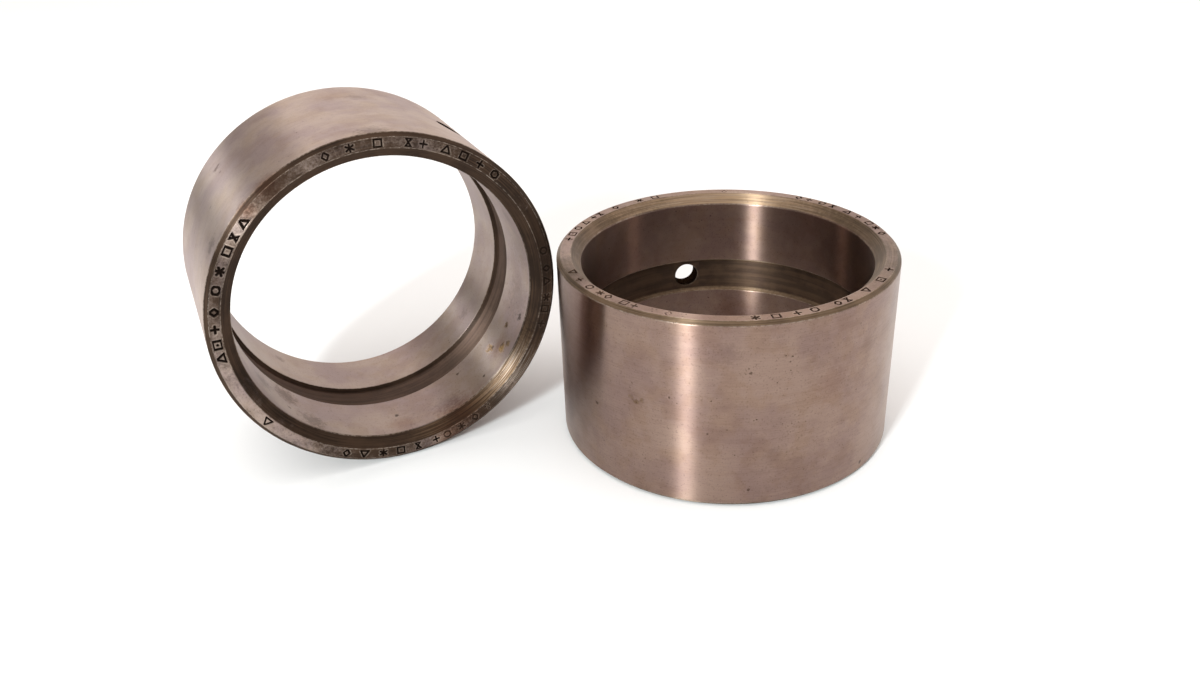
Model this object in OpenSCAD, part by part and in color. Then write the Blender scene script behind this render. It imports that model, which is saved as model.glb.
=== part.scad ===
// A pair of loose inner rings from a machined needle roller bearing.
// Each ring is one turned and ground piece of bearing steel. Its bore presses onto a shaft, and
// its outer surface is the track that the needles roll on. A shallow groove inside the bore
// carries oil to one radial hole.
// One ring lies flat on its end face. The other stands on edge beside it.
// The origin is the middle of the flat ring's bore, with +Z up along that bore.

/* [Ring] */
// Diameter of the bore, the shaft's size
bore_d = 38.1; // [20:0.05:80]
// Thickness of the wall between the bore and the needle track
wall = 3.175; // [2.6:0.025:8]
// Width of the ring along its axis
ring_w = 25.4; // [18:0.1:60]

/* [Edges] */
// Chamfer at each end of the needle track
track_chamfer = 0.5; // [0.2:0.05:0.8]
// Lead-in chamfer at each end of the bore
bore_chamfer = 1.3; // [0.4:0.05:1.6]

/* [Oil groove] */
// Width of the groove at the bore's surface
groove_w = 5.1; // [3:0.1:8]
// Depth of the groove
groove_depth = 0.6; // [0.3:0.05:1.2]
// How far each side of the groove slopes in along the axis
groove_slope = 0.3; // [0.1:0.05:0.8]

/* [Oil hole] */
// Diameter of the oil hole
oil_hole_d = 3.4; // [1:0.1:5]
// Where the flat ring's oil hole is, in degrees from +X towards +Y
flat_hole_at = 104.4; // [0:0.1:360]
// Where the edge ring's oil hole is, in degrees up from its side towards the flat ring
edge_hole_at = 53; // [0:1:360]

/* [Layout] */
// How far the edge ring's axis is turned from -Y towards +X, in degrees
edge_turn = 28.4; // [0:0.1:44]
// Smallest gap between the two rings
ring_gap = 0.6; // [0.05:0.05:5]

/* [Hidden] */
$fn = 240;

bore_r = bore_d / 2;
track_r = bore_r + wall;
half_w = ring_w / 2;
past = 1; // how far a cut runs past the surface it opens

// The edge ring comes nearest to the flat ring with a line along its side, or with the end of
// that line at its front chamfer when it is turned further than the line reaches.
line_end = half_w - track_chamfer;
side_to_side = (2 * track_r + ring_gap) / cos(edge_turn);
end_offset = track_r * sin(edge_turn) - line_end * cos(edge_turn);
end_to_side = track_r * cos(edge_turn) + line_end * sin(edge_turn)
    + sqrt(pow(track_r + ring_gap, 2) - pow(end_offset, 2));
centre_gap = side_to_side * sin(edge_turn) <= line_end ? side_to_side : end_to_side;

// The wall's cross-section above the ring's middle plane, from the groove's floor to the track
upper_half = [
    [bore_r + groove_depth, groove_w / 2 - groove_slope],
    [bore_r, groove_w / 2],
    [bore_r, half_w - bore_chamfer],
    [bore_r + bore_chamfer, half_w],
    [track_r - track_chamfer, half_w],
    [track_r, half_w - track_chamfer],
];
lower_half = [for (i = [len(upper_half) - 1:-1:0]) [upper_half[i].x, -upper_half[i].y]];

// The ring before its oil hole is drilled
module ring_wall() {
    rotate_extrude()
        polygon(concat(upper_half, lower_half));
}

// The hole's drill, along +Y through one side of the wall
module oil_hole() {
    rotate([-90, 0, 0])
        translate([0, 0, bore_r - past])
            cylinder(d = oil_hole_d, h = wall + 2 * past);
}

// A ring about Z with its oil hole turned to the angle hole_at, counted from +X towards +Y
module inner_ring(hole_at) {
    rotate(hole_at - 90)
        difference() {
            ring_wall();
            oil_hole();
        }
}

module inner_ring_flat() {
    color([0.58, 0.50, 0.46])
        inner_ring(flat_hole_at);
}

module inner_ring_on_edge() {
    color([0.64, 0.57, 0.54])
        translate([-centre_gap, 0, track_r - half_w])
            rotate([90, 0, edge_turn])
                inner_ring(edge_hole_at);
}

inner_ring_flat();
inner_ring_on_edge();
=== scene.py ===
# The looks of two loose inner rings from machined needle roller bearings.
#
# Each ring is one turned, ground and stamped piece of steel, so each is one mesh: its cross-section turned
# about its axis, with rounded edges, an oil hole cut through it and shallow marks stamped into one end face.
# Ring shapes are worked out in millimetres in the ring's own frame, with Z along its axis, and then placed in
# metres in the shared frame.

import math

import bmesh
import bpy
import numpy as np
from mathutils import Matrix, Vector


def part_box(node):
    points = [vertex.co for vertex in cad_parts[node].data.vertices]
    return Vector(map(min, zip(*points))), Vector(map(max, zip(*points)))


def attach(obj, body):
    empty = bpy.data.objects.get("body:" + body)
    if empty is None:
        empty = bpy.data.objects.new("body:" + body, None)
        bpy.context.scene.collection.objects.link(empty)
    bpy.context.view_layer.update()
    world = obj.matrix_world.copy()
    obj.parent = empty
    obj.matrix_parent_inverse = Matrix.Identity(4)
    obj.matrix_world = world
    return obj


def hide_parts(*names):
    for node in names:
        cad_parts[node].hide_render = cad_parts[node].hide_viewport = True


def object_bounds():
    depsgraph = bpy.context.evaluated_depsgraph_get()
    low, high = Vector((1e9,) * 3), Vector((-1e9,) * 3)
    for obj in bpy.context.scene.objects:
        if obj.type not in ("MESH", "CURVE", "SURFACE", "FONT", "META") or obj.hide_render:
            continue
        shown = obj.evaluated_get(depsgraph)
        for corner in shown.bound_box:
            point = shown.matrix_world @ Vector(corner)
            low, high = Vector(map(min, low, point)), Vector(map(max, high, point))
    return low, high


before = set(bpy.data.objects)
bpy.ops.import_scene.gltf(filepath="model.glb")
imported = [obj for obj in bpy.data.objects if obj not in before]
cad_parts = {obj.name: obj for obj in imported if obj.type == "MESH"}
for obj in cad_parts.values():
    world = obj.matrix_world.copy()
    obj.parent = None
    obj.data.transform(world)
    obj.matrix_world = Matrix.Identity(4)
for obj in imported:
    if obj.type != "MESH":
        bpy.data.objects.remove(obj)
cad_low, cad_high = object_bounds()

MM = 0.001  # metres in a millimetre

# ---------------------------------------------------------------- sizes, in millimetres and degrees

flat_low, flat_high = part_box("inner_ring_flat")
edge_low, edge_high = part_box("inner_ring_on_edge")
flat_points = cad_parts["inner_ring_flat"].data.vertices

TRACK_R = (flat_high.x - flat_low.x) / 2 / MM
HALF_WIDTH = (flat_high.z - flat_low.z) / 2 / MM
BORE_R = min(math.hypot(v.co.x, v.co.y) for v in flat_points) / MM
TRACK_CHAMFER = 0.5
BORE_CHAMFER = 1.3
GROOVE_WIDTH = 5.1
GROOVE_R = BORE_R + 0.6
GROOVE_SLOPE = 0.3
OIL_HOLE_R = 1.7
EDGE_TURN = 28.4  # how far the edge ring's axis is turned from -Y towards +X
FLAT_HOLE_AT = 104.4
EDGE_HOLE_AT = 53.0
FLAT_SEED = 11  # for the random wear of each ring's edges
EDGE_SEED = 23

COLUMNS = 300  # columns round a ring, the first one through the oil hole
FINE_PER_COLUMN = 9  # columns of the stamped face's fine grid for each of those
GUARD = 0.06  # rows this close to a rounded corner keep the shading of the flat stretches flat
CORNER_STEPS = 4
FACE_ROW_STEP = 0.045  # between the rows of the stamped face's fine grid
LEVEL_SLACK = 0.001  # how far two equal heights may differ

PATCH_COLUMNS = 5  # columns on each side of the oil hole that its square patch covers
PATCH_HALF = 2.0  # half the patch's height along the axis
PATCH_ROWS = 9
PATCH_LOOPS = 4  # loops between the patch's square border and the hole's round rim
RIM_ROUND = 0.15
RIM_STEPS = 4
TUBE_STEPS = 3

MARK_R = 21.05  # the radius of the middle of the stamped marks
MARK_REACH = 2.4  # degrees of fine columns on each side of a mark's middle
MARK_SIZE = 1.08
MARK_HALF_STROKE = 0.105
MARK_DEPTH = 0.09
LIP_AT = 1.8  # where the lip round a mark is highest, in half strokes from the stroke's middle
LIP_WIDTH = 0.06
LIP_HEIGHT = 0.016
LIP_SHARE = 0.8  # how bright the lip is

EDGE_CHIP = 0.02  # how far an edge is worn back at most
CHIP_SMOOTHING = 12  # how many times the wear is evened out along an edge
NICKS = 7  # on each edge

# How heavily old oil (FILM) and dark oxide (SOOT) lie on each stretch of the cross-section
FILM = {"groove": 0.8, "groove_side": 0.1, "bore": 0.15}
SOOT = {"groove": 0.62, "groove_side": 1.1, "bore": 0.0, "bore_chamfer": 0.8, "face": 0.22,
        "track_chamfer": 0.9, "track": 0.0}
# In the oil hole, soot, a full oil film and the marks' dark filling stand for its dark oxide and also paint
# the shade inside the hole
HOLE_SOOT_AND_SHADE = 0.85
HOLE_FILL_AND_SHADE = 0.9  # how much of the marks' dark filling the oil hole's wall has: painted shade over the hole's dark oxide


# ---------------------------------------------------------------- the cross-section

def section_corners():
    """The cross-section's corners as (point, cut back, convex, name of the stretch that follows)."""
    half_groove = GROOVE_WIDTH / 2
    upper = [
        (GROOVE_R, half_groove - GROOVE_SLOPE, 0.12, False, "groove_side"),
        (BORE_R, half_groove, 0.09, True, "bore"),
        (BORE_R, HALF_WIDTH - BORE_CHAMFER, 0.16, True, "bore_chamfer"),
        (BORE_R + BORE_CHAMFER, HALF_WIDTH, 0.10, True, "face"),
        (TRACK_R - TRACK_CHAMFER, HALF_WIDTH, 0.07, True, "track_chamfer"),
        (TRACK_R, HALF_WIDTH - TRACK_CHAMFER, 0.12, True, "track"),
    ]
    following = ["groove"] + [corner[4] for corner in upper[:-1]]
    lower = [(r, -z, cut, convex, name) for (r, z, cut, convex, _), name in zip(upper, following)]
    return [(np.array((r, z)), cut, convex, name) for r, z, cut, convex, name in upper + lower[::-1]]


def stretch_stops(name, start, length):
    """Where a straight stretch of the cross-section has rows: (distance from its start, fine) pairs."""
    stops = [(GUARD, False), (length - GUARD, False)] if length > 4 * GUARD else []
    if name in ("track", "groove"):
        levels = np.linspace(-PATCH_HALF, PATCH_HALF, PATCH_ROWS)
        stops += [(abs(level - start[1]), False) for level in levels]
    if name == "face" and start[1] > 0:
        margin = 1.5 * GUARD
        count = round((length - 2 * margin) / FACE_ROW_STEP)
        stops += [(stop, True) for stop in np.linspace(margin, length - margin, count)]
    return sorted(stops)


def section_rows():
    """The closed cross-section as rows, each a dict of its point and what it is like there."""
    corners = section_corners()
    rows = []
    for i, (here, cut, convex, name) in enumerate(corners):
        before, (after, next_cut, _, _) = corners[i - 1], corners[(i + 1) % len(corners)]
        back = (before[0] - here) / np.linalg.norm(before[0] - here)
        on = (after - here) / np.linalg.norm(after - here)
        for t in np.linspace(0, 1, CORNER_STEPS + 1):
            rows.append({
                "point": here + cut * (back * (1 - t) ** 2 + on * t ** 2),
                "soot": SOOT[before[3]] * (1 - t) + SOOT[name] * t,
                "film": FILM.get(before[3], 0.0) * (1 - t) + FILM.get(name, 0.0) * t,
                "wear": 4 * t * (1 - t) if convex else 0.0,
                "corner": i, "name": "corner", "fine": False,
            })
        start = here + cut * on
        length = np.linalg.norm(after - here) - cut - next_cut
        for stop, fine in stretch_stops(name, start, length):
            rows.append({"point": start + on * stop, "soot": SOOT[name], "film": FILM.get(name, 0.0),
                         "wear": 0.0, "corner": i, "name": name, "fine": fine})
    along = 0.0
    for i, row in enumerate(rows):
        ahead, behind = rows[(i + 1) % len(rows)]["point"], rows[i - 1]["point"]
        row["direction"] = (ahead - behind) / np.linalg.norm(ahead - behind)
        row["along"] = along
        along += np.linalg.norm(ahead - row["point"])
    return rows


# ---------------------------------------------------------------- the stamped marks

def polygon_stroke(sides, radius, turn=90.0):
    """A closed stroke round a regular polygon."""
    angles = np.radians(turn + np.arange(sides + 1) * 360 / sides)
    return [(radius * math.cos(a), radius * math.sin(a)) for a in angles]


def dot_stroke(x, y):
    """A stroke so short that it leaves a dot."""
    return [(x - 0.01, y), (x + 0.01, y)]


# Plain signs, with no letters or digits, as strokes in a space about 1 mm wide and high
SIGNS = {
    "diamond": [[(-0.38, 0), (0, 0.48), (0.38, 0), (0, -0.48), (-0.38, 0)]],
    "square": [polygon_stroke(4, 0.6, 45)],
    "triangle": [[(-0.5, -0.4), (0.5, -0.4), (0, 0.46), (-0.5, -0.4)]],
    "star": [[(0, -0.48), (0, 0.48)], [(-0.4, -0.24), (0.4, 0.24)], [(-0.4, 0.24), (0.4, -0.24)]],
    "dots": [dot_stroke(-0.25, -0.25), dot_stroke(0.25, -0.25), dot_stroke(0, 0.25)],
    "plus": [[(0, -0.42), (0, 0.42)], [(-0.38, 0), (0.38, 0)]],
    "hexagon": [polygon_stroke(6, 0.46)],
    "hourglass": [[(-0.32, 0.45), (0.32, 0.45), (-0.32, -0.45), (0.32, -0.45), (-0.32, 0.45)]],
    "dotted_square": [polygon_stroke(4, 0.64, 45), dot_stroke(0, 0)],
}


def distance_to_strokes(a, b, strokes):
    """How far each point (a, b) is from the nearest of some strokes."""
    nearest = np.full(a.shape, np.inf)
    for stroke in strokes:
        for (x0, y0), (x1, y1) in zip(stroke, stroke[1:]):
            dx, dy = x1 - x0, y1 - y0
            share = np.clip(((a - x0) * dx + (b - y0) * dy) / (dx * dx + dy * dy), 0, 1)
            nearest = np.minimum(nearest, np.hypot(a - x0 - share * dx, b - y0 - share * dy))
    return nearest


def smooth(start, end, x):
    """0 at start and 1 at end, with a soft beginning and finish."""
    t = np.clip((x - start) / (end - start), 0, 1)
    return t * t * (3 - 2 * t)


def turn_between(angles, at):
    """How far angles are from the angle at, from -180 to 180 degrees."""
    return (angles - at + 180) % 360 - 180


def stamp(angles, radius, marks):
    """The height, dark filling and bright lip that marks give the face at these angles and this radius."""
    height, fill, bright = (np.zeros(len(angles)) for _ in range(3))
    for mark in marks:
        turn = turn_between(angles, mark["at"])
        near = np.abs(turn) < MARK_REACH
        a = np.radians(turn[near]) * radius / mark["size"]
        b = np.full(a.shape, (radius - MARK_R) / mark["size"])
        away = distance_to_strokes(a, b, SIGNS[mark["sign"]]) * mark["size"]
        half = mark["half_stroke"]
        cut = 1 - smooth(0.5 * half, 1.3 * half, away)
        lip = np.exp(-((away - LIP_AT * half) / LIP_WIDTH) ** 2)
        height[near] += mark["weight"] * (LIP_HEIGHT * lip - MARK_DEPTH * cut)
        fill[near] = np.maximum(fill[near], mark["weight"] * (1 - smooth(0.8 * half, 1.35 * half, away)))
        bright[near] = np.maximum(bright[near], LIP_SHARE * mark["weight"] * lip)
    return height, fill, bright


def mark_group(angles, signs, weight=1.0, size=MARK_SIZE, half_stroke=MARK_HALF_STROKE):
    """A mark at each of these angles, with its sign. weight is how deep and dark the marks are."""
    return [{"at": at, "sign": sign, "weight": weight, "size": size, "half_stroke": half_stroke}
            for at, sign in zip(angles, signs.split(), strict=True)]


FLAT_MARKS = (
    mark_group([10.4, 15.9, 20.9, 27.9, 33.9, 41.9, 46.9, 52.9, 57.4],
               "diamond star square plus triangle hourglass hexagon plus diamond")
    + mark_group([88], "dots")
    + mark_group([117, 124, 136, 145, 149, 155, 161, 167, 172],
                 "square star diamond hourglass plus triangle hexagon dotted_square plus")
    + mark_group([202, 209, 216, 222, 226, 233, 237], "triangle plus hexagon star diamond square plus",
                 weight=0.6)
    + mark_group([244, 249, 254], "dots diamond dots", weight=0.35)
    + mark_group([276.4, 282.9, 289.9, 295.9, 304.9, 308.9, 318.9, 328.9, 337.9],
                 "star square plus hexagon diamond hourglass triangle dotted_square plus", weight=0.9)
)
EDGE_MARKS = (
    mark_group([104, 96, 87, 77, 72, 64, 57.5, 51, 44.5],
               "diamond star square hourglass plus triangle square plus hexagon", weight=0.9)
    + mark_group([185, 180, 174.5, 168.5, 161, 154.5, 147.5, 142.5, 137],
                 "triangle dotted_square plus diamond hexagon star square hourglass triangle",
                 size=1.15, half_stroke=0.14)
    + mark_group([214], "triangle")
    + mark_group([246, 252.5, 259.5, 266, 272.5, 279.5], "diamond triangle star square hourglass plus")
    + mark_group([284, 290, 296, 302], "hexagon star diamond dots", weight=0.6)
    + mark_group([340, 346, 350.5, 357, 2, 9], "plus square star triangle diamond hexagon", weight=0.45)
)


# ---------------------------------------------------------------- one ring's mesh

class RingMesh:
    """Gathers a ring's points, with what the surface is like at each, and its faces."""

    VALUES = ("along", "soot", "film", "wear", "stamp")

    def __init__(self):
        self.points = np.empty((0, 3))
        self.places = np.empty((0, 3))
        self.across = np.empty((0, 3))
        self.values = {name: np.empty(0) for name in self.VALUES}
        self.faces = []

    def add(self, points, places, across, **values):
        """Adds points and returns their numbers. places are where they were before wear and stamping."""
        first, total = len(self.points), len(points)
        self.points = np.concatenate([self.points, points])
        self.places = np.concatenate([self.places, places])
        self.across = np.concatenate([self.across, np.broadcast_to(across, (total, 3))])
        for name in self.VALUES:
            value = np.broadcast_to(values.get(name, 0.0), total)
            self.values[name] = np.concatenate([self.values[name], value])
        return np.arange(first, first + total)

    def strip(self, near, far, keep=slice(None)):
        """Quads between two closed loops with the same number of points, or only those that keep picks."""
        corners = [near, np.roll(near, -1), np.roll(far, -1), far]
        self.faces += np.stack([corner[keep] for corner in corners], axis=1).tolist()

    def stitch(self, coarse, fine, shared):
        """Faces between a coarse loop and a fine one, where fine[shared[i]] lies beside coarse[i]."""
        total = len(fine)
        for i, start in enumerate(shared):
            j = (i + 1) % len(shared)
            here, after = int(coarse[i]), int(coarse[j])
            run = [int(fine[(start + k) % total]) for k in range((shared[j] - start) % total + 1)]
            if len(run) == 2:
                self.faces.append([here, after, run[1], run[0]])
                continue
            middle = len(run) // 2
            self.faces += [[here, run[k + 1], run[k]] for k in range(middle)]
            self.faces.append([here, after, run[middle]])
            self.faces += [[after, run[k + 1], run[k]] for k in range(middle, len(run) - 1)]


def ring_places(radius, height, angles):
    """The points of a ring at one radius and height and at these angles, in degrees."""
    t = np.radians(angles)
    return np.stack([radius * np.cos(t), radius * np.sin(t), np.full(t.shape, height)], axis=1)


def chipping(rng):
    """How far an edge is worn back at each column, from 0 to 1: a little all round, with a few nicks."""
    rough = rng.random(COLUMNS)
    for _ in range(CHIP_SMOOTHING):
        rough = (np.roll(rough, 1) + 2 * rough + np.roll(rough, -1)) / 4
    nicks = np.zeros(COLUMNS)
    nicks[rng.integers(0, COLUMNS, NICKS)] = rng.uniform(0.4, 1.0, NICKS)
    nicks = np.maximum(nicks, 0.5 * (np.roll(nicks, 1) + np.roll(nicks, -1)))
    return np.clip(0.55 * rough + nicks, 0, 1)


def add_loops(mesh, rows, hole_at, marks, rng):
    """Adds every row's loop of points. Returns the loops, and where each coarse column is in a fine loop."""
    steps = np.arange(COLUMNS * FINE_PER_COLUMN)
    angles = hole_at + steps * 360 / len(steps)
    coarse = steps % FINE_PER_COLUMN == 0
    near_mark = np.any([np.abs(turn_between(angles, mark["at"])) < MARK_REACH for mark in marks], axis=0)
    fine = coarse | near_mark
    chips = [chipping(rng) for _ in range(1 + max(row["corner"] for row in rows))]
    loops = []
    for row in rows:
        radius, height = row["point"]
        here = angles[fine if row["fine"] else coarse]
        places = ring_places(radius, height, here)
        points = places.copy()
        fill, wear = 0.0, row["wear"]
        if row["fine"]:
            lift, fill, wear = stamp(here, radius, marks)
            points[:, 2] += lift
        elif row["wear"] > 0:
            outward = ring_places(-row["direction"][1], row["direction"][0], here)
            points -= outward * (chips[row["corner"]] * EDGE_CHIP * row["wear"])[:, None]
        loops.append(mesh.add(points, places, ring_places(*row["direction"], here), along=row["along"],
                              soot=row["soot"], film=row["film"], wear=wear, stamp=fill))
    return loops, np.flatnonzero(coarse[fine])


def patch_border(loops, levels):
    """The point numbers round the oil hole's square patch, from its upper left corner."""
    columns = np.arange(-PATCH_COLUMNS, PATCH_COLUMNS + 1)
    square = np.array([loops[level][columns] for level in levels])
    return np.concatenate([square[0, :-1], square[:-1, -1], square[-1, :0:-1], square[:0:-1, 0]])


def add_hole_mouth(mesh, border, row, hole_at, radius, sink):
    """Fills a square patch round one mouth of the oil hole, down to the end of its rounded rim.

    sink is -1 where the hole goes in towards the ring's axis, and 1 where it goes out from it.
    """
    turn = math.radians(hole_at)
    axis = np.array([math.cos(turn), math.sin(turn), 0.0])
    sideways = np.array([-math.sin(turn), math.cos(turn), 0.0])
    upright = np.array([0.0, 0.0, 1.0])
    x, z = mesh.points[border] @ sideways, mesh.points[border] @ upright
    angle = np.arctan2(z, x * TRACK_R / radius)
    rim = OIL_HOLE_R + RIM_ROUND

    def add_loop(loop_x, loop_z, depth, share):
        """A loop on the surface, or below it by depth. share is how far it is round the rim."""
        places = np.outer(np.sqrt(radius ** 2 - loop_x ** 2) + sink * depth, axis)
        places += np.outer(loop_x, sideways) + np.outer(loop_z, upright)
        # Towards the hole the soot, oil film and dark filling rise: dark oxide plus painted shade.
        return mesh.add(places, places, upright,
                        along=row["along"] + np.abs(loop_z - row["point"][1]) + depth,
                        soot=row["soot"] * (1 - share) + HOLE_SOOT_AND_SHADE * share,
                        film=row["film"] * (1 - share) + share,
                        wear=2 * share * (1 - share), stamp=HOLE_FILL_AND_SHADE * share)

    loops = [border]
    for t in np.linspace(0, 1, PATCH_LOOPS + 1)[1:]:
        patch_x = x * (1 - t) + rim * np.cos(angle) * t
        patch_z = z * (1 - t) + rim * np.sin(angle) * t
        loops.append(add_loop(patch_x, patch_z, 0, 0))
    for share in np.linspace(0, 1, RIM_STEPS + 1)[1:]:
        bend = share * math.pi / 2
        reach = rim - RIM_ROUND * math.sin(bend)
        depth = RIM_ROUND * (1 - math.cos(bend))
        loops.append(add_loop(reach * np.cos(angle), reach * np.sin(angle), depth, share))
    for near, far in zip(loops, loops[1:]):
        mesh.strip(near, far)
    return loops[-1]


def add_hole_tube(mesh, outer, inner):
    """Joins the hole's two rims, with a wall whose darkness is dark oxide and painted shade."""
    near = outer
    for t in np.linspace(0, 1, TUBE_STEPS + 1)[1:-1]:
        places = mesh.points[outer] * (1 - t) + mesh.points[inner] * t
        far = mesh.add(places, places, (0, 0, 1), along=2 * t, soot=HOLE_SOOT_AND_SHADE, film=1.0, stamp=HOLE_FILL_AND_SHADE)
        mesh.strip(near, far)
        near = far
    mesh.strip(near, inner)


def ring_mesh(hole_at, marks, seed):
    """One ring in its own frame, in millimetres, with its oil hole at hole_at degrees."""
    mesh = RingMesh()
    rows = section_rows()
    loops, shared = add_loops(mesh, rows, hole_at, marks, np.random.default_rng(seed))
    beside_hole = (np.arange(COLUMNS) + PATCH_COLUMNS) % COLUMNS < 2 * PATCH_COLUMNS
    patch_rows = {"track": set(), "groove": set()}
    for i, row in enumerate(rows):
        j = (i + 1) % len(rows)
        reach = max(abs(row["point"][1]), abs(rows[j]["point"][1]))
        in_patch = row["name"] in patch_rows and reach < PATCH_HALF + LEVEL_SLACK
        if in_patch:
            patch_rows[row["name"]] |= {i, j}
        if row["fine"] == rows[j]["fine"]:
            mesh.strip(loops[i], loops[j], ~beside_hole if in_patch else slice(None))
        else:
            coarse, fine = (loops[j], loops[i]) if row["fine"] else (loops[i], loops[j])
            mesh.stitch(coarse, fine, shared)
    rims = []
    for name, radius, sink in (("track", TRACK_R, -1), ("groove", GROOVE_R, 1)):
        levels = sorted(patch_rows[name], key=lambda i: -rows[i]["point"][1])
        border = patch_border(loops, levels)
        rims.append(add_hole_mouth(mesh, border, rows[levels[0]], hole_at, radius, sink))
    add_hole_tube(mesh, *rims)
    return mesh


def ring_object(name, mesh, placement):
    """Makes the Blender object of a ring, with its points placed in the shared frame.

    The materials read these values at each point: ring_place, its place on the ring in millimetres; along,
    its distance along the cross-section in millimetres; across, the direction across the grinding lines; and
    soot, film, wear and stamp, how strongly it has each, from 0 to about 1. In the oil hole, soot, film and
    stamp also paint the shade inside the hole.
    """
    turn = np.array(placement.to_3x3())
    data = bpy.data.meshes.new(name)
    data.from_pydata((mesh.points * MM @ turn.T + np.array(placement.translation)).tolist(), [], mesh.faces)
    for attribute, vectors in (("ring_place", mesh.places), ("across", mesh.across @ turn.T)):
        data.attributes.new(attribute, "FLOAT_VECTOR", "POINT").data.foreach_set("vector", vectors.ravel())
    for attribute, numbers in mesh.values.items():
        data.attributes.new(attribute, "FLOAT", "POINT").data.foreach_set("value", numbers)
    work = bmesh.new()
    work.from_mesh(data)
    bmesh.ops.delete(work, geom=[v for v in work.verts if not v.link_faces], context="VERTS")
    bmesh.ops.recalc_face_normals(work, faces=work.faces)
    work.to_mesh(data)
    work.free()
    data.shade_smooth()
    ring = bpy.data.objects.new(name, data)
    bpy.context.scene.collection.objects.link(ring)
    return ring


# ---------------------------------------------------------------- materials

class Shader:
    """Short calls for building a material's node tree. Values are numbers, colours or nodes' outputs."""

    def __init__(self, name):
        self.material = bpy.data.materials.new(name)
        self.material.use_nodes = True
        self.tree = self.material.node_tree
        self.tree.nodes.clear()

    def node(self, kind, settings=None, **inputs):
        """Adds a node. settings are its own properties, and inputs its sockets, with _ for a space."""
        node = self.tree.nodes.new("ShaderNode" + kind)
        for key, value in (settings or {}).items():
            setattr(node, key, value)
        for key, value in inputs.items():
            self.plug(node.inputs[key.replace("_", " ")], value)
        return node

    def plug(self, socket, value):
        if isinstance(value, bpy.types.NodeSocket):
            self.tree.links.new(value, socket)
        else:
            socket.default_value = value

    def attribute(self, name, output="Fac"):
        return self.node("Attribute", {"attribute_name": name}).outputs[output]

    def math(self, operation, a, b=0.0, clamp=False):
        node = self.node("Math", {"operation": operation, "use_clamp": clamp})
        self.plug(node.inputs[0], a)
        self.plug(node.inputs[1], b)
        return node.outputs[0]

    def vector_math(self, operation, a, b, output="Vector"):
        node = self.node("VectorMath", {"operation": operation})
        self.plug(node.inputs[0], a)
        self.plug(node.inputs[1], b)
        return node.outputs[output]

    def spread(self, value, low, high, to_low=0.0, to_high=1.0):
        """value moved softly from low..high to to_low..to_high."""
        node = self.node("MapRange", {"interpolation_type": "SMOOTHSTEP"}, Value=value,
                         From_Min=low, From_Max=high, To_Min=to_low, To_Max=to_high)
        return node.outputs[0]

    def noise(self, vector, scale, detail=3.0, roughness=0.55):
        node = self.node("TexNoise", Vector=vector, Scale=scale, Detail=detail, Roughness=roughness)
        return node.outputs["Fac"]

    def mix(self, share, a, b, blend="MIX"):
        """Colour a with share of colour b over it."""
        node = self.node("Mix", {"data_type": "RGBA", "blend_type": blend})
        self.plug(node.inputs["Factor"], share)
        self.plug(node.inputs[6], a)
        self.plug(node.inputs[7], b)
        return node.outputs[2]

    def finished(self, surface):
        """The material, with this shader node as its surface."""
        self.plug(self.node("OutputMaterial").inputs["Surface"], surface.outputs[0])
        return self.material


def colour(red, green, blue):
    """A shader colour, from the red, green and blue of a screen colour, 0 to 255."""
    def linear(c):
        c /= 255
        return c / 12.92 if c <= 0.04045 else ((c + 0.055) / 1.055) ** 2.4
    return (linear(red), linear(green), linear(blue), 1.0)


# Colours that both rings share. A shade multiplies the colour that it lies on.
WHITE = colour(255, 255, 255)
GRIND_SHADE = colour(140, 118, 108)
BAND_SHADE = colour(190, 165, 150)
SPECKLE_SHADE = colour(120, 98, 86)
TARNISH_SHADE = colour(222, 204, 168)
SMUDGE_SHADE = colour(110, 88, 74)
STAIN_SHADE = colour(176, 122, 82)
BRIGHT_METAL = colour(196, 180, 166)
RUST_TINTS = (colour(116, 90, 54), colour(64, 45, 26))
PIT_COLOUR = colour(56, 40, 31)
MARK_COLOUR = colour(30, 23, 19)
MARK_GLOSS = colour(70, 58, 48)

BUMP_DISTANCE = 0.000004  # metres


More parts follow.
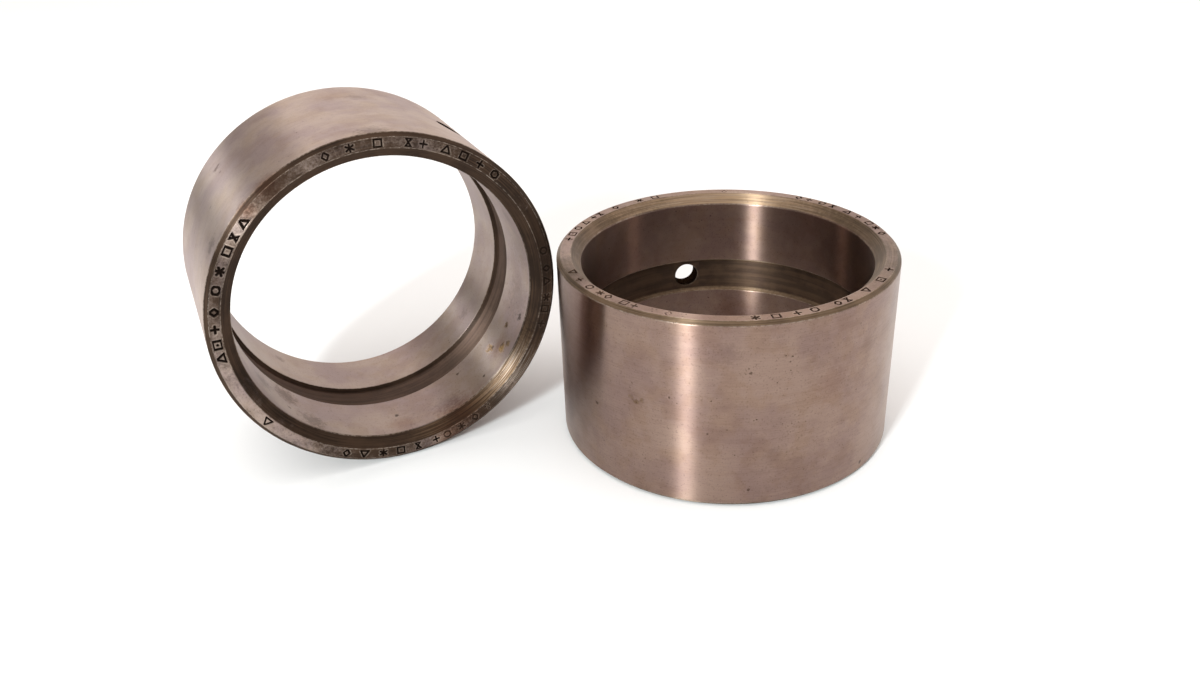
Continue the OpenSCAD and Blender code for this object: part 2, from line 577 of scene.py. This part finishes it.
class SteelShader(Shader):
    """Ground bearing steel, with its grinding lines, oxide, oil, rust and pits, a painted light on some
    chamfers and painted shade in the oil hole.

    Noise scales are per millimetre. spots names the kinds of spots, each with its list of (place, radius,
    strength). offset moves the patterns so that the rings differ.
    """

    def __init__(self, name, spots, offset):
        super().__init__(name)
        self.spots = spots
        self.offset = offset
        self.place = self.vector_math("ADD", self.attribute("ring_place", "Vector"), offset)
        self.along = self.attribute("along")
        self.soot_share = self.attribute("soot")
        self.film_share = self.attribute("film")
        self.wear_share = self.attribute("wear")
        self.stamp_share = self.attribute("stamp")
        self.oxidised = self.spread(self.soot_share, 0.05, 0.2)  # 0 on the track and in the bore, 1 elsewhere
        self.split = self.node("SeparateXYZ", Vector=self.place)

        self.grind = self.grinding_lines()
        self.bands = self.lines(0.05, 1.3)
        self.streak = self.lines(0.12, 7.0, roughness=0.6)
        self.speckle = self.noise(self.place, 4.5, 2.0)
        self.dirt = self.noise(self.place, 0.55, 6.0, 0.62)
        self.dirt_fine = self.noise(self.place, 2.2, 5.0, 0.65)
        self.cloud = self.noise(self.place, 0.13, 4.0, 0.6)

        self.soot = self.soot_cover()
        self.rust = self.blots("rust", 0.6)
        self.pits = self.pit_cover()

    def lines(self, round_scale, across_scale, detail=3.0, roughness=0.55):
        """A noise stretched round the ring and squeezed across it."""
        stretched = self.node("CombineXYZ", X=self.math("MULTIPLY", self.split.outputs[0], round_scale),
                              Y=self.math("MULTIPLY", self.split.outputs[1], round_scale),
                              Z=self.math("MULTIPLY", self.along, across_scale))
        return self.noise(stretched.outputs[0], 1.0, detail, roughness)

    def grinding_lines(self):
        """The grinding lines, which are faint in the bore and its groove."""
        strength = self.spread(self.film_share, 0.0, FILM["bore"], 1.0, 0.08)
        lines = self.math("SUBTRACT", self.lines(0.5, 11.0, 4.0, 0.7), 0.5)
        return self.math("ADD", self.math("MULTIPLY", lines, strength), 0.5)

    def blots(self, kind, soft, ragged=2.6):
        """How strongly each point is inside any of this kind's round spots, which have ragged edges."""
        tear = self.math("SUBTRACT", 0.5, self.dirt_fine)
        total = 0.0
        for centre, radius, strength in self.spots[kind]:
            moved = [c + o for c, o in zip(centre, self.offset)]
            away = self.vector_math("DISTANCE", self.place, moved, "Value")
            torn = self.math("ADD", away, self.math("MULTIPLY", tear, radius * ragged))
            share = self.spread(torn, radius * (1 - soft), radius, strength, 0.0)
            total = self.math("MAXIMUM", total, share)
        return total

    def soot_cover(self):
        """Where there is dark oxide and old dirt, which are thinner where they have been rubbed."""
        rubbed = self.math("ADD", self.math("MULTIPLY", self.dirt, 0.9),
                           self.math("MULTIPLY", self.speckle, 0.25))
        grimy = self.math("MULTIPLY", self.blots("grime", 0.9, 0.5), self.oxidised)
        return self.spread(self.math("ADD", self.math("ADD", self.soot_share, grimy), rubbed), 0.62, 1.45)

    def pit_cover(self):
        """Where there are single pits, and crowds of small ones."""
        cells = self.node("TexVoronoi", Vector=self.place, Scale=1.8, Randomness=1.0).outputs["Distance"]
        ragged = self.math("ADD", cells, self.math("MULTIPLY", self.math("SUBTRACT", 0.5, self.speckle), 0.3))
        crowd = self.math("MAXIMUM", self.blots("pitted", 0.9, 1.2), self.spread(self.dirt, 0.60, 0.66))
        scattered = self.math("MULTIPLY", self.spread(ragged, 0.08, 0.22, 1.0, 0.0), crowd)
        return self.math("MAXIMUM", self.blots("pit", 0.5), scattered)

    def bare_steel(self, tints):
        """The steel's own colour, with faint lines, tarnish and smudges."""
        base = self.mix(self.spread(self.cloud, 0.38, 0.62), *tints)
        base = self.mix(self.spread(self.grind, 0.4, 0.75, 0.0, 0.18), base, GRIND_SHADE, "MULTIPLY")
        base = self.mix(self.spread(self.bands, 0.45, 0.7, 0.0, 0.10), base, BAND_SHADE, "MULTIPLY")
        base = self.mix(self.spread(self.speckle, 0.55, 0.75, 0.0, 0.30), base, SPECKLE_SHADE, "MULTIPLY")
        tarnish = self.spread(self.noise(self.place, 0.3, 4.0, 0.6), 0.45, 0.62, 0.0, 0.22)
        base = self.mix(tarnish, base, TARNISH_SHADE, "MULTIPLY")
        return self.mix(self.math("MULTIPLY", self.blots("smudge", 0.8), 0.6), base, SMUDGE_SHADE, "MULTIPLY")

    def with_oxide_and_oil(self, base, soot_tints, film_tints, tan_and_painted_light_tints):
        """base under dark oxide, then the film of oil, then a tan colour on parts of the chamfers: tan oxide
        on the edge ring, and painted light on the flat ring's far chamfers, which face the light.
        """
        mottle = self.spread(self.mix(0.5, self.streak, self.cloud), 0.4, 0.6)
        base = self.mix(self.soot, base, self.mix(mottle, *soot_tints))
        turning = self.spread(self.mix(0.6, self.dirt, self.bands), 0.42, 0.58)
        base = self.mix(self.film_share, base, self.mix(turning, *film_tints))
        tan = self.math("MULTIPLY", self.blots("tan", 0.9, 0.8), self.spread(self.soot_share, 0.66, 0.78))
        return self.mix(tan, base, self.mix(self.spread(self.streak, 0.4, 0.6), *tan_and_painted_light_tints))

    def with_bright_metal(self, base):
        """base with bright metal where edges have been knocked and where a surface is scored."""
        wear = self.math("MULTIPLY", self.wear_share, self.spread(self.cloud, 0.35, 0.65, 0.1, 0.6))
        wear = self.math("MULTIPLY", wear, self.spread(self.dirt_fine, 0.4, 0.6, 0.15, 1.1))
        cuts = self.spread(self.lines(0.15, 9.0, 2.0), 0.5, 0.62)
        scored = self.math("MULTIPLY", self.blots("scored", 0.9, 0.6), cuts)
        scored = self.math("MULTIPLY", scored, self.oxidised)
        return self.mix(self.math("MAXIMUM", wear, scored), base, BRIGHT_METAL)

    def with_damage(self, base):
        """base with its stains, rust and pits, and with the dark filling of the stamped marks."""
        base = self.mix(self.blots("stain", 0.95, 1.2), base, STAIN_SHADE, "MULTIPLY")
        base = self.mix(self.rust, base, self.mix(self.spread(self.speckle, 0.4, 0.65), *RUST_TINTS))
        base = self.mix(self.math("MULTIPLY", self.pits, 0.8), base, PIT_COLOUR)
        return self.mix(self.stamp_share, base, MARK_COLOUR)

    def surface(self, base):
        """The shader node: metal of this colour, duller and rougher where something covers it."""
        cover = self.math("MAXIMUM", self.math("MULTIPLY", self.soot, 0.85), self.rust)
        dull = self.math("MAXIMUM", cover, self.stamp_share)
        roughness = self.math("ADD", self.spread(self.grind, 0.3, 0.7, 0.28, 0.33),
                              self.math("MULTIPLY", dull, 0.22))
        roughness = self.math("ADD", roughness, self.spread(self.film_share, 0.3, 0.8, 0.0, 0.18))
        roughness = self.math("ADD", roughness, self.math("MULTIPLY", self.stamp_share, 0.4), clamp=True)
        coat = self.math("MULTIPLY", self.math("SUBTRACT", dull, self.stamp_share), 0.3)
        metal = self.math("SUBTRACT", 1.0, coat, clamp=True)

        crust = self.math("MULTIPLY", self.math("MULTIPLY", self.dirt_fine, self.soot), 6.0)
        height = self.math("ADD", self.math("MULTIPLY", self.grind, 0.8), crust)
        height = self.math("SUBTRACT", height, self.math("MULTIPLY", self.pits, 8.0))
        bump = self.node("Bump", Height=height, Strength=0.25, Distance=BUMP_DISTANCE)
        return self.node("BsdfPrincipled", Base_Color=base, Roughness=roughness, Metallic=metal,
                         Anisotropic=1.0, Tangent=self.attribute("across", "Vector"), Normal=bump.outputs[0],
                         Specular_Tint=self.mix(self.stamp_share, WHITE, MARK_GLOSS))


def steel_material(name, tints, soot_tints, film_tints, tan_and_painted_light_tints, spots, offset):
    """One ring's steel, from pairs of colours for the bare steel, the oxide, the oil and the tan, which is
    tan oxide and, on the flat ring's far chamfers, painted light.
    """
    shader = SteelShader(name, spots, offset)
    base = shader.bare_steel(tints)
    base = shader.with_oxide_and_oil(base, soot_tints, film_tints, tan_and_painted_light_tints)
    base = shader.with_bright_metal(base)
    base = shader.with_damage(base)
    return shader.finished(shader.surface(base))


# ---------------------------------------------------------------- spots of rust, dirt and wear, and a painted light

CHAMFER_SPOT = 0.6  # how far the spots on the bore's chamfer are from the bore and from the end face


def spots_on(ring_radius, *spots):
    """Spots on a surface of this radius, each from its angle, height, own radius and strength."""
    return [(ring_places(ring_radius, height, np.array([angle]))[0], radius, strength)
            for angle, height, radius, strength in spots]


def spots_on_face(ring_radius, *spots):
    """Spots on the upper end face, each from its angle, own radius and strength."""
    return spots_on(ring_radius, *((angle, HALF_WIDTH, *rest) for angle, *rest in spots))


def spots_on_chamfer(*spots):
    """Spots on the bore's upper chamfer, each from its angle, own radius and strength."""
    height = HALF_WIDTH - CHAMFER_SPOT
    return spots_on(BORE_R + CHAMFER_SPOT, *((angle, height, *rest) for angle, *rest in spots))


FLAT_SPOTS = {
    "rust": spots_on(TRACK_R, (237.4, 0.9, 0.5, 0.4), (239.2, 0.5, 0.45, 0.6), (241, 0.9, 0.4, 0.5)),
    "pit": spots_on(TRACK_R, (287.6, 7.9, 0.2, 1), (286.9, 7.2, 0.15, 0.8), (275, 6.2, 0.22, 0.8),
                    (262.4, -2.2, 0.22, 0.9), (250.4, 2.2, 0.2, 0.8), (222, -2.2, 0.3, 0.8),
                    (275.5, -10.2, 0.22, 0.8), (319, -11.2, 0.35, 0.9)),
    "pitted": spots_on(TRACK_R, (285, 6.0, 3.0, 0.9), (275, 6.5, 2.0, 0.8), (290, -2, 3.4, 0.7),
                       (264, 9, 2.0, 0.6), (243, -8, 3.0, 0.5)),
    "smudge": spots_on(TRACK_R, (268, 8.6, 2.2, 0.2), (318, 6, 2.0, 0.15), (284, -6, 2.6, 0.15)),
    "stain": spots_on(TRACK_R, (302, 3, 4.0, 0.25)) + spots_on(BORE_R, (84, -5.5, 5.0, 0.3)),
    "grime": spots_on_face(MARK_R, (200, 8.0, 0.4), (345, 14.0, 0.35)),
    # The flat ring's tan patch is painted light: it lightens the far chamfers, which face the light from
    # above and in front.
    "tan": spots_on_face(BORE_R, (90, 24.0, 0.7)),
    "scored": spots_on_face(MARK_R, (60, 9.0, 0.4), (88, 9.0, 0.4), (116, 9.0, 0.4)),
}
EDGE_SPOTS = {
    "rust": spots_on(BORE_R, (318, 6.2, 1.0, 0.9), (322.5, 8.8, 0.9, 1.0), (326, 9.6, 0.6, 0.9),
                     (331, 7.0, 0.55, 0.9)),
    "pit": (
        spots_on(BORE_R, (309, 9.5, 0.3, 1), (338.6, 9.8, 0.6, 1), (319.5, 6.6, 0.35, 0.9),
                 (323.4, 8.4, 0.35, 1), (325.8, 9.3, 0.3, 0.9), (331, 7.1, 0.3, 0.9),
                 (269, 7.0, 0.35, 1), (300.4, 4.4, 0.35, 0.9), (222, 8.7, 0.35, 0.8))
        + spots_on(TRACK_R, (144, 1.6, 0.35, 0.7))
    ),
    "pitted": (
        spots_on(BORE_R, (301, 5.5, 1.6, 0.7), (268, 6.6, 1.4, 0.6), (334, 8.0, 2.0, 0.6))
        + spots_on(TRACK_R, (86, 9.5, 2.5, 0.7), (150, 8.0, 1.8, 0.8))
    ),
    "smudge": (
        spots_on(BORE_R, (232, 9.6, 2.4, 0.9), (228, -8.2, 1.0, 0.8), (22, 8.0, 1.5, 0.5),
                 (319, -6.0, 1.3, 0.5), (8, 8.5, 4.0, 0.4), (222, 5.0, 2.6, 0.9),
                 (210, 6.0, 2.0, 0.7), (345, 8.0, 4.0, 0.4), (290, 9.0, 3.0, 0.3))
        + spots_on(TRACK_R, (150, 9.5, 1.6, 0.9), (135.5, -6.0, 0.9, 1), (135, -3.6, 0.4, 0.9),
                   (88, 11.6, 2.5, 0.8), (82, -6.0, 1.6, 0.4))
    ),
    "stain": (
        spots_on(BORE_R, (270, 9.5, 3.0, 0.35), (322, 8.0, 2.5, 0.4), (222, 5.0, 3.0, 0.4))
        + spots_on(TRACK_R, (90, -8.0, 4.0, 0.25))
        + spots_on_chamfer((292, 4.5, 0.6))
        + spots_on_face(MARK_R, (286, 3.5, 0.6))
        + spots_on_face(TRACK_R - 0.3, (124, 3.0, 0.6))
        + spots_on_face(TRACK_R - 0.6, (133, 2.0, 0.6))
    ),
    "grime": spots_on_face(MARK_R, (165, 14.0, 0.45), (122, 9.0, 0.5), (90, 13.0, 0.55), (45, 15.0, 0.8),
                           (8, 16.0, 1.0), (335, 15.0, 1.0), (305, 12.0, 0.7), (255, 13.0, 0.6)),
    # The edge ring's tan is tan oxide on its bore chamfer.
    "tan": spots_on_chamfer((314, 10.0, 0.8), (280, 5.0, 0.4)),
    "scored": spots_on_chamfer((318, 6.0, 0.5)),
}


# ---------------------------------------------------------------- the two rings

def place_of_edge_ring():
    """The edge ring's own frame: Z along its axis towards the front, X level, Y straight up."""
    centre = (edge_low + edge_high) / 2
    turn = Matrix.Rotation(math.radians(EDGE_TURN), 4, "Z") @ Matrix.Rotation(math.pi / 2, 4, "X")
    return Matrix.Translation(centre) @ turn


flat_mesh = ring_mesh(FLAT_HOLE_AT, FLAT_MARKS, FLAT_SEED)
edge_mesh = ring_mesh(EDGE_HOLE_AT, EDGE_MARKS, EDGE_SEED)
flat_ring = ring_object("flat_ring_steel", flat_mesh, Matrix.Identity(4))
edge_ring = ring_object("edge_ring_steel", edge_mesh, place_of_edge_ring())

flat_ring.data.materials.append(steel_material(
    "ground_steel_flat",
    tints=(colour(141, 118, 110), colour(154, 131, 119)),
    soot_tints=(colour(86, 70, 54), colour(122, 101, 81)),
    film_tints=(colour(56, 41, 31), colour(80, 61, 47)),
    # The flat ring's tan colours are the painted light on its far chamfers.
    tan_and_painted_light_tints=(colour(150, 127, 103), colour(188, 160, 130)),
    spots=FLAT_SPOTS,
    offset=(0.0, 0.0, 0.0)))
edge_ring.data.materials.append(steel_material(
    "ground_steel_edge",
    tints=(colour(162, 144, 141), colour(177, 160, 150)),
    soot_tints=(colour(46, 34, 26), colour(76, 58, 45)),
    film_tints=(colour(76, 59, 49), colour(102, 82, 71)),
    tan_and_painted_light_tints=(colour(82, 63, 46), colour(132, 107, 82)),
    spots=EDGE_SPOTS,
    offset=(70.0, 40.0, 15.0)))

stand_ins = ((flat_ring, "flat_ring", "inner_ring_flat"), (edge_ring, "edge_ring", "inner_ring_on_edge"))
for ring, body, node in stand_ins:
    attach(ring, body)
    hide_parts(node)


# ---------------------------------------------------------------- camera, lights and floor

VIEW_AZIMUTH = 4.51
VIEW_ELEVATION = 27.66
VIEW_DISTANCE = 139.06  # millimetres
VIEW_ROLL = -2.33
VIEW_AIM = Vector((8.95, -3.63, -8.30))  # millimetres from the middle of the model's box to what is looked at
LENS = 31.16  # on the default 36 mm wide sensor

FLOOR_REACH = 3.0  # metres
KEY_AZIMUTH = -24.0
KEY_ELEVATION = 25.0
FRONT_BRIGHTNESS = 0.17
BACK_BRIGHTNESS = 1.35
HORIZON_BRIGHTNESS = 0.8
LOW_LEFT_SHARE = 0.15  # how much of its light the low left keeps
WARM_WHITE = (1.0, 0.93, 0.88)
KEY_COLOUR = (0.95, 1.0, 1.0)
FLOOR_COLOUR = (0.87, 0.9, 0.92, 1.0)


def direction_to(azimuth, elevation):
    """The direction in which a camera or light stands. Azimuth 0 is on -Y's side, and 90 on +X's."""
    a, e = math.radians(azimuth), math.radians(elevation)
    return Vector((math.sin(a) * math.cos(e), -math.cos(a) * math.cos(e), math.sin(e)))


def add_camera(middle):
    data = bpy.data.cameras.new("camera")
    data.lens = LENS
    data.clip_start = 0.01
    camera = bpy.data.objects.new("camera", data)
    back = direction_to(VIEW_AZIMUTH, VIEW_ELEVATION)
    level = (-back).to_track_quat("-Z", "Y").to_matrix().to_4x4()
    turn = level @ Matrix.Rotation(math.radians(VIEW_ROLL), 4, "Z")
    camera.matrix_world = Matrix.Translation(middle + (VIEW_AIM + back * VIEW_DISTANCE) * MM) @ turn
    bpy.context.scene.collection.objects.link(camera)
    bpy.context.scene.camera = camera


def add_area_light(name, middle, azimuth, elevation, distance, width, height, power, tint):
    data = bpy.data.lights.new(name, "AREA")
    data.color = tint
    data.shape = "RECTANGLE"
    data.size, data.size_y = width, height
    data.energy = power
    light = bpy.data.objects.new(name, data)
    towards = direction_to(azimuth, elevation)
    turn = towards.to_track_quat("Z", "Y").to_matrix().to_4x4()
    light.matrix_world = Matrix.Translation(middle + towards * distance) @ turn
    bpy.context.scene.collection.objects.link(light)


def add_floor():
    data = bpy.data.meshes.new("floor")
    corners = [(x * FLOOR_REACH, y * FLOOR_REACH, cad_low.z) for x, y in ((-1, -1), (1, -1), (1, 1), (-1, 1))]
    data.from_pydata(corners, [], [(0, 1, 2, 3)])
    floor = bpy.data.objects.new("floor", data)
    bpy.context.scene.collection.objects.link(floor)
    shader = Shader("floor_white")
    data.materials.append(shader.finished(shader.node("BsdfDiffuse", Color=FLOOR_COLOUR)))


def set_surroundings():
    """A plain white studio: bright behind, dimmer in front, dark low at the left, with a bright horizon."""
    world = bpy.data.worlds.new("studio")
    world.use_nodes = True
    nodes, links = world.node_tree.nodes, world.node_tree.links
    split = nodes.new("ShaderNodeSeparateXYZ")
    links.new(nodes.new("ShaderNodeTexCoord").outputs["Generated"], split.inputs[0])

    def fade(axis, start, end, low, high):
        """Brightness that goes from low to high along an axis of the direction looked in."""
        node = nodes.new("ShaderNodeMapRange")
        node.interpolation_type = "SMOOTHSTEP"
        links.new(split.outputs[axis], node.inputs["Value"])
        for key, value in (("From Min", start), ("From Max", end), ("To Min", low), ("To Max", high)):
            node.inputs[key].default_value = value
        return node.outputs[0]

    def combine(operation, a, b):
        node = nodes.new("ShaderNodeMath")
        node.operation = operation
        links.new(a, node.inputs[0])
        links.new(b, node.inputs[1])
        return node.outputs[0]

    not_low = combine("MAXIMUM", fade("Z", 0.45, 0.65, 0.0, 1.0), fade("Z", 0.0, 0.1, 1.0, 0.0))
    not_low_left = combine("MAXIMUM", fade("X", -0.58, -0.46, LOW_LEFT_SHARE, 1.0), not_low)
    panels = combine("MULTIPLY", fade("Y", -0.8, 0.3, FRONT_BRIGHTNESS, BACK_BRIGHTNESS), not_low_left)
    strength = combine("MAXIMUM", panels, fade("Z", 0.05, 0.2, HORIZON_BRIGHTNESS, 0.0))
    nodes["Background"].inputs["Color"].default_value = (*WARM_WHITE, 1.0)
    links.new(strength, nodes["Background"].inputs["Strength"])
    bpy.context.scene.world = world
    bpy.context.scene.view_settings.view_transform = "Standard"


middle = (cad_low + cad_high) / 2
add_camera(middle)
add_floor()
set_surroundings()
add_area_light("key", middle, azimuth=KEY_AZIMUTH, elevation=KEY_ELEVATION, distance=0.6,
               width=0.07, height=0.12, power=3.4, tint=KEY_COLOUR)
add_area_light("overhead", middle, azimuth=0.0, elevation=72.0, distance=0.9,
               width=1.2, height=1.2, power=4.5, tint=WARM_WHITE)
